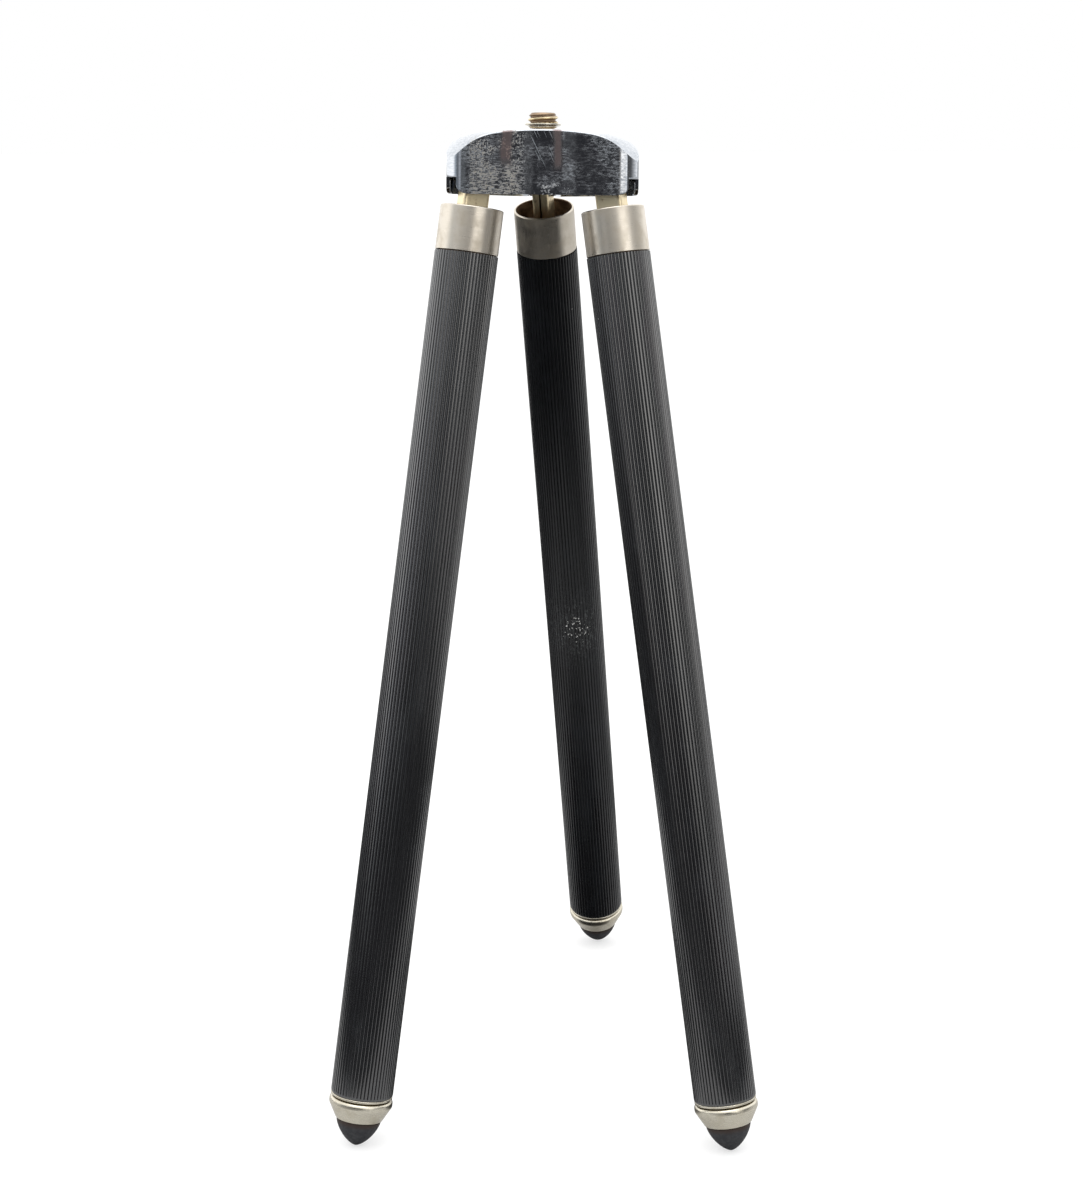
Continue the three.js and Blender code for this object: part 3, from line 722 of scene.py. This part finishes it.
def camera_screw():
    """A stud with a right-hand 60 degree thread above its round seat."""
    seat_face = HEAD.inverted() @ Vector(frame["record"]["mounts"][0]["pos_m"]) / MM
    seat_top = seat_face.z
    crest = thread_crest()
    rows = THREAD_ROWS
    columns = SEGMENTS
    lower = rounded([
        (0, SCREW.low, 0),
        (SCREW_SHANK, SCREW.low, 0.3),
        (SCREW_SHANK, seat_top - SEAT_THICKNESS, 0),
        (SCREW.outer, seat_top - SEAT_THICKNESS, 0.1),
        (SCREW.outer, seat_top, 0.15),
        (crest - 0.5, seat_top, 0),
    ], closed=False)
    profile = lower + [None] * rows
    top = SCREW.high
    vertices, rings = [], []
    for index, point in enumerate(profile):
        if point is not None and point[0] == 0:
            rings.append([len(vertices)] * columns)
            vertices.append((0, 0, point[1]))
            continue
        rings.append(range(len(vertices), len(vertices) + columns))
        for column in range(columns):
            angle = FULL_TURN * column / columns
            if point is not None:
                radius, height = point
            else:
                row = index - len(lower) + 1
                height = seat_top + (top - seat_top) * row / rows
                groove = THREAD_DEPTH * thread_depth_at(height / THREAD_PITCH - column / columns)
                undercut = max(0, 0.5 - (height - seat_top) * 1.5)
                chamfer = max(0, THREAD_CHAMFER - (top - height))
                radius = min(crest - groove, crest - undercut, crest - chamfer)
            vertices.append((radius * math.cos(angle), radius * math.sin(angle), height))
    rings.append([len(vertices)] * columns)
    vertices.append((0, 0, top))
    faces = [face for pair in zip(rings, rings[1:]) for face in band(*pair)]
    screw = object_from("threaded_stud", vertices, faces, HEAD)
    screw.data.set_sharp_from_angle(angle=math.radians(50))
    screw.data.materials.append(SCREW_BRASS)
    screw.data.materials.append(FERRULE_NICKEL)
    for face in screw.data.polygons:
        beyond_thread = math.hypot(face.center.x, face.center.y) / MM > crest + 0.1
        if beyond_thread and face.center.z / MM < seat_top + 0.01:
            face.material_index = 1
    settle(screw, "head", "worn_brass", SCREW_BRASS, "camera_screw")


def thread_crest():
    """The thread's outside radius: the CAD stud's, near its top."""
    inverse = HEAD.inverted()
    points = [inverse @ vertex.co / MM for vertex in frame["nodes"]["camera_screw"].data.vertices]
    near_top = [math.hypot(point.x, point.y) for point in points if point.z > SCREW.high - 1.2]
    return max(near_top)


# Leg pieces

def tongue(leg):
    """A box folded from sheet, its open seam towards the head's axis, round at the top."""
    place = LEG[leg]
    size = span(f"{leg}_tongue", place)
    half_depth = size.high
    half_width = tongue_half_width(leg)
    corners = [
        (-half_depth, TONGUE_SEAM / 2, 0), (-half_depth, half_width, TONGUE_BEND),
        (half_depth, half_width, TONGUE_BEND), (half_depth, -half_width, TONGUE_BEND),
        (-half_depth, -half_width, TONGUE_BEND), (-half_depth, -TONGUE_SEAM / 2, 0),
    ]
    path = subdivide(rounded(corners, closed=False), 0.5)
    rows = TONGUE_ROWS
    vertices, faces = [], []
    for x, y in path:
        top = math.sqrt(max(0, half_depth ** 2 - x ** 2))
        for row in range(rows):
            vertices.append((x, y, size.low + (top - size.low) * row / (rows - 1)))
    for column in range(len(path) - 1):
        for row in range(rows - 1):
            here, there = column * rows + row, (column + 1) * rows + row
            faces.append((here, here + 1, there + 1, there))
    piece = object_from(f"{leg}_folded_tongue", vertices, faces, place)
    add_modifier(piece, "SOLIDIFY", thickness=TONGUE_SHEET * MM, offset=-1, use_even_offset=True)
    apply_modifiers(piece)
    rivet = span(f"{leg}_tongue_rivet", place)
    rivet_height = (rivet.low + rivet.high) / 2
    reach = 2 * half_width + 4
    cut(piece, [
        rod_object(TONGUE_PIN_HOLE, place, (0, -reach / 2, 0), (0, 1, 0), reach),
        rod_object(TONGUE_RIVET_HOLE, place, (0, -reach / 2, rivet_height), (0, 1, 0), reach),
    ])
    piece.data.shade_smooth()
    soften_edges(piece, 0.12)
    settle(piece, f"{leg}_leg", "brass", SHEET_BRASS, f"{leg}_tongue")


def tongue_half_width(leg):
    inverse = LEG[leg].inverted()
    return max((inverse @ vertex.co).y for vertex in frame["nodes"][f"{leg}_tongue"].data.vertices) / MM


def subdivide(path, longest):
    """The same path with no step longer than this."""
    dense = []
    for start, finish in zip(path, path[1:]):
        length = math.dist(start, finish)
        steps = max(1, math.ceil(length / longest))
        for step in range(steps):
            share = step / steps
            dense.append(tuple(first + (last - first) * share for first, last in zip(start, finish)))
    return dense + [path[-1]]


def collar(leg):
    """An open-topped nickel cup with a rounded lip."""
    place = LEG[leg]
    size = span(f"{leg}_collar", place)
    profile = rounded([
        (size.inner, size.low, 0.1),
        (size.outer, size.low, 0.15),
        (size.outer, size.high, 0.38),
        (size.inner, size.high, 0.38),
    ])
    piece = turned(f"{leg}_nickel_collar", profile, place)
    piece.data.materials.append(COLLAR_NICKEL)
    piece.data.materials.append(OXIDE)
    bore = size.inner + 0.15
    for face in piece.data.polygons:
        if math.hypot(face.center.x, face.center.y) / MM < bore:
            face.material_index = 1
    add_modifier(piece, "WEIGHTED_NORMAL", keep_sharp=True)
    settle(piece, f"{leg}_leg", "nickel", COLLAR_NICKEL, f"{leg}_collar")


def ribbed_tube(leg):
    """A tube with lengthways ribs, divided by narrow grooves that fade out just short of its lower end."""
    place = LEG[leg]
    size = span(f"{leg}_ribbed_tube", place)
    columns = RIB_COUNT * POINTS_PER_RIB
    ribbed_from = size.low + RIB_FADE
    heights = [size.low, size.low + 0.25, ribbed_from]
    heights += [ribbed_from + (size.high - ribbed_from) * step / RIB_ROWS for step in range(1, RIB_ROWS)]
    heights += [size.high]
    crest = size.outer
    vertices, rings = [], []
    for height in heights:
        relief = min(1, (height - size.low) / RIB_FADE)
        edge_drop = 0.15 if height == size.low else 0
        rings.append(range(len(vertices), len(vertices) + columns))
        for column in range(columns):
            across = (column % POINTS_PER_RIB) / POINTS_PER_RIB * 2 - 1
            groove = relief * across ** RIB_SQUARENESS + (1 - relief) * RIB_END_DROP
            radius = crest - edge_drop - RIB_DEPTH * groove
            angle = FULL_TURN * (column / columns)
            vertices.append((radius * math.cos(angle), radius * math.sin(angle), height))
    for height in (size.high, size.low):
        rings.append(range(len(vertices), len(vertices) + columns))
        for column in range(columns):
            angle = FULL_TURN * column / columns
            vertices.append((size.inner * math.cos(angle), size.inner * math.sin(angle), height))
    faces = [face for pair in zip(rings, rings[1:] + rings[:1]) for face in band(*pair)]
    piece = object_from(f"{leg}_fluted_tube", vertices, faces, place)
    piece.data.set_sharp_from_angle(angle=math.radians(50))
    settle(piece, f"{leg}_leg", "black_lacquer", LACQUER[leg], f"{leg}_ribbed_tube")


def rim_ring(leg):
    place = LEG[leg]
    size = span(f"{leg}_rim_ring", place)
    outer = size.outer - 0.1
    profile = rounded([
        (size.inner, size.low, 0.1),
        (outer, size.low, 0.4),
        (outer, size.high, 0.25),
        (size.inner, size.high, 0.1),
    ])
    piece = turned(f"{leg}_rolled_rim", profile, place)
    add_modifier(piece, "WEIGHTED_NORMAL", keep_sharp=True)
    settle(piece, f"{leg}_leg", "nickel", FERRULE_NICKEL, f"{leg}_rim_ring")


def nested_tube(leg, which):
    place = LEG[leg]
    node = f"{leg}_{which}_tube"
    size = span(node, place)
    nose = span(f"{leg}_{which}_catch", place)
    bead = 0.12
    profile = rounded([
        (size.inner, size.low, 0.1),
        (size.outer - bead, size.low, 0.15),
        (size.outer - bead, size.high - 3.4, 0.6),
        (size.outer, size.high - 3.0, 0.6),
        (size.outer, size.high, 0.2),
        (size.inner, size.high, 0.1),
    ])
    piece = turned(f"{leg}_{which}_drawn_tube", profile, place)
    nose_height = nose.low + 2.0
    cut(piece, [rod_object(1.2, place, (0, 0, nose_height), (1, 0, 0), size.outer + 2)])
    piece.data.shade_smooth()
    piece.data.set_sharp_from_angle(angle=math.radians(35))
    settle(piece, f"{leg}_{which}_section", "brass", TUBE_BRASS, node)


def foot_ferrule(leg):
    """A turned cap: round shoulder, tapering skirt, and a spigot up inside the last tube."""
    place = LEG[leg]
    size = span(f"{leg}_foot_ferrule", place)
    rubber = span(f"{leg}_rubber_foot", place)
    base = size.low
    top = base + 6.9
    cup_radius = 6.4
    profile = rounded([
        (0, base + 4.5, 0),
        (cup_radius, base + 4.5, 0.2),
        (cup_radius, base, 0.15),
        (FERRULE_END, base, 0.25),
        (size.outer, top - 2.1, 1.6),
        (size.outer, top, 1.35),
        (6.1, top, 0.2),
        (6.1, size.high, 0.4),
        (0, size.high, 0),
    ], closed=False, steps=8)
    piece = turned(f"{leg}_turned_ferrule", profile, place, closed=False)
    add_modifier(piece, "WEIGHTED_NORMAL", keep_sharp=True)
    settle(piece, f"{leg}_fourth_section", "nickel", FERRULE_NICKEL, f"{leg}_foot_ferrule")
    return rubber


def rubber_foot(leg):
    place = LEG[leg]
    size = span(f"{leg}_rubber_foot", place)
    stem_radius = 6.1
    stem_height = 4.5
    base = size.high - stem_height
    length = base - size.low
    dome = []
    for step in range(25):
        angle = math.radians(90) * step / 24
        across = math.sin(angle) ** (2 / RUBBER_POINT)
        along = max(0, math.cos(angle)) ** (2 / RUBBER_POINT)
        dome.append((size.outer * across, base - length * along))
    shoulder = rounded([
        dome[-1] + (0,), (size.outer, base, 0), (stem_radius, base, 0.1), (stem_radius, size.high, 0.3),
        (0, size.high, 0),
    ], closed=False)
    piece = turned(f"{leg}_moulded_foot", dome + shoulder[2:], place, closed=False)
    settle(piece, f"{leg}_fourth_section", "rubber", RUBBER, f"{leg}_rubber_foot")


def softened(node, body, slot, material, edge):
    """A copy of a CAD node's shape with its edges rounded."""
    mesh = frame["nodes"][node].data.copy()
    mesh.materials.clear()
    piece = bpy.data.objects.new(f"{node}_piece", mesh)
    bpy.context.scene.collection.objects.link(piece)
    add_modifier(piece, "WELD", merge_threshold=MM * MM)
    add_modifier(piece, "BEVEL", width=edge * MM, segments=2, limit_method="ANGLE",
                 angle_limit=math.radians(50))
    settle(piece, body, slot, material, node)


def build_object():
    head_cap()
    camera_screw()
    for leg in LEGS:
        tongue(leg)
        collar(leg)
        ribbed_tube(leg)
        rim_ring(leg)
        foot_ferrule(leg)
        rubber_foot(leg)
        for which in NESTED:
            nested_tube(leg, which)
            softened(f"{leg}_{which}_catch", f"{leg}_{which}_spring", "spring_steel", SPRING_STEEL, 0.1)
        softened(f"{leg}_plug", f"{leg}_leg", "brass", OXIDE, 0.15)
        softened(f"{leg}_tongue_rivet", f"{leg}_leg", "steel", STEEL, 0.15)
        softened(f"{leg}_hinge_pin", "head", "steel", STEEL, 0.15)
    for node in ("cap_spacer", "hinge_bracket", "screw_washer", "screw_nut"):
        softened(node, "head", "steel", STEEL, 0.15)


# Studio

def add_camera():
    data = bpy.data.cameras.new("camera")
    data.lens = CAMERA_LENS
    data.sensor_width = CAMERA_SENSOR
    camera = bpy.data.objects.new("camera", data)
    camera.location = CAMERA_PLACE
    camera.rotation_euler = (math.radians(90 - CAMERA_DOWN), math.radians(CAMERA_ROLL), 0)
    bpy.context.scene.collection.objects.link(camera)
    bpy.context.scene.camera = camera


def add_floor():
    """The white table that the feet stand on."""
    corners = [(-1, -1), (1, -1), (1, 1), (-1, 1)]
    mesh = bpy.data.meshes.new("floor")
    mesh.from_pydata([(x * TABLE_HALF, y * TABLE_HALF, 0) for x, y in corners], [], [(0, 1, 2, 3)])
    floor = bpy.data.objects.new("floor", mesh)
    bpy.context.scene.collection.objects.link(floor)
    finish = Finish("table_top", roughness=0.9, specular_ior_level=0.0)
    seen = finish.node("LightPath", {}).outputs["Is Camera Ray"]
    place = finish.node("TexCoord", {}).outputs["Object"]
    reach = finish.node("VectorMath", {0: place}, operation="LENGTH").outputs["Value"]
    ring = finish.times(finish.between(reach, *TABLE_INNER),
                        finish.between(reach, *reversed(TABLE_OUTER)))
    parts = finish.node("SeparateXYZ", {0: place}).outputs
    behind = finish.between(finish.sum("ADD", parts["X"], parts["Y"]), *TABLE_BEHIND)
    ends = finish.between(finish.sum("ABSOLUTE", parts["X"]), *TABLE_ENDS)
    pale = finish.more(ring, finish.more(behind, ends))
    reflected = finish.between(pale, 0, 1, TABLE_DARK, TABLE_PALE)
    shown = finish.sum("ADD", finish.times(seen, TABLE_SHADE),
                       finish.times(finish.sum("SUBTRACT", 1.0, seen), reflected))
    finish.put("Base Color", shown)
    finish.put("Emission Color", (1.0, 1.0, 1.0))
    finish.put("Emission Strength", finish.times(seen, TABLE_LIFT))
    mesh.materials.append(finish.material)


def add_softbox(name, place, target, size, power):
    data = bpy.data.lights.new(name, "AREA")
    data.shape = "RECTANGLE"
    data.size, data.size_y = size
    data.energy = power
    light = bpy.data.objects.new(name, data)
    light.location = place
    aim = Vector(target) - Vector(place)
    light.rotation_euler = aim.to_track_quat("-Z", "Y").to_euler()
    bpy.context.scene.collection.objects.link(light)


def add_room():
    """A white backdrop to look at. What is reflected is pale at the sides and dark in front."""
    world = bpy.data.worlds.new("room")
    world.use_nodes = True
    tree = world.node_tree

    def node(kind, entries, **settings):
        made = tree.nodes.new("ShaderNode" + kind)
        for setting, value in settings.items():
            setattr(made, setting, value)
        for entry, value in entries.items():
            if isinstance(value, bpy.types.NodeSocket):
                tree.links.new(value, made.inputs[entry])
            else:
                made.inputs[entry].default_value = value
        return made

    def blend(share, first, second):
        made = node("Mix", {0: share}, data_type="RGBA")
        for entry, value in ((6, first), (7, second)):
            if isinstance(value, bpy.types.NodeSocket):
                tree.links.new(value, made.inputs[entry])
            else:
                made.inputs[entry].default_value = (value, value, value, 1)
        return made.outputs[2]

    def rise(value, low, high):
        entries = {"Value": value, "From Min": low, "From Max": high}
        return node("MapRange", entries, interpolation_type="SMOOTHSTEP").outputs["Result"]

    parts = node("SeparateXYZ", {0: node("TexCoord", {}).outputs["Generated"]}).outputs
    backwards = node("Math", {0: parts["Y"], 1: -1.0}, operation="MULTIPLY").outputs[0]
    azimuth = node("Math", {0: parts["X"], 1: backwards}, operation="ARCTAN2").outputs[0]
    turn = node("MapRange", {"Value": azimuth, "From Min": -math.pi, "From Max": math.pi}).outputs["Result"]
    ramp = node("ValToRGB", {"Fac": turn})
    stops = ramp.color_ramp.elements
    while len(stops) < len(WALLS):
        stops.new(0.5)
    for stop, (degrees, colour, to_table) in zip(stops, WALLS):
        stop.position = (degrees + 180) / 360
        stop.color = (*colour, to_table)
    low_part = {0: rise(parts["Z"], *WALL_LOW_FOOT), 1: ramp.outputs["Alpha"]}
    lower = node("Math", low_part, operation="MULTIPLY").outputs[0]
    upper = rise(parts["Z"], *WALL_FOOT)
    share = node("Math", {0: upper, 1: lower}, operation="MAXIMUM").outputs[0]
    wall = blend(share, LOW_SHADE, ramp.outputs["Color"])
    room = blend(rise(parts["Z"], *CEILING_FOOT), wall, CEILING_SHADE)
    seen = node("LightPath", {}).outputs["Is Camera Ray"]
    shown = blend(seen, room, 1 / WALL_GAIN)
    background = tree.nodes["Background"]
    tree.links.new(shown, background.inputs["Color"])
    background.inputs["Strength"].default_value = WALL_GAIN
    bpy.context.scene.world = world


def light_studio():
    add_room()
    name, place, size, power = OVERHEAD
    add_softbox(name, place, (0, 0, 0), size, power)
    bpy.context.scene.view_settings.view_transform = "Standard"


add_camera()
build_object()
add_floor()
light_studio()
